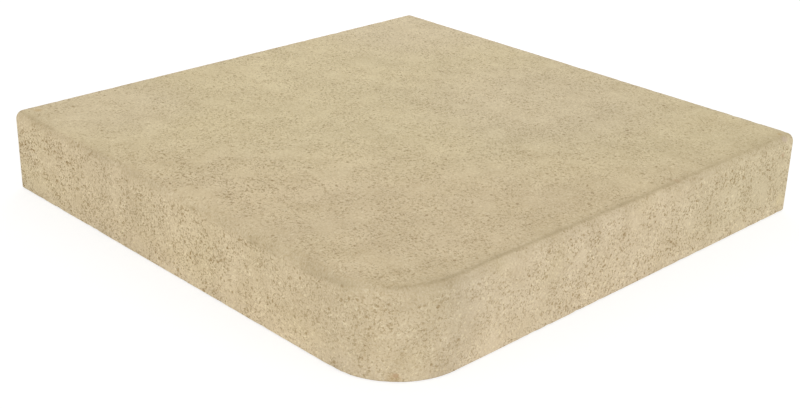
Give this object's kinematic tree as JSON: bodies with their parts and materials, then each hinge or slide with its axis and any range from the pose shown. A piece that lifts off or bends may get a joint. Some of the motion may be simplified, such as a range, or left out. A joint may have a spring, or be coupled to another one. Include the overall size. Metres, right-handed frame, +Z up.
{
  "type": "clinker corner tile",
  "caption": "Square clinker stair tread tile for an outside corner: a nose turns down along its outer sides and round a vertical corner, with keying grooves below.",
  "frame": {"origin": "on the floor, below the middle of the square tread; the tile stands on the feet of its noses", "axes": "+Z up, out of the walking surface; the noses face -Y and +X, and the rounded corner is at +X -Y"},
  "size_m": [0.33, 0.33, 0.05],
  "materials": {
    "clinker": "matt, unglazed, sandy beige with dark specks"
  },
  "bodies": {
    "root": {"corner_tile": "clinker"}
  },
  "joints": []
}
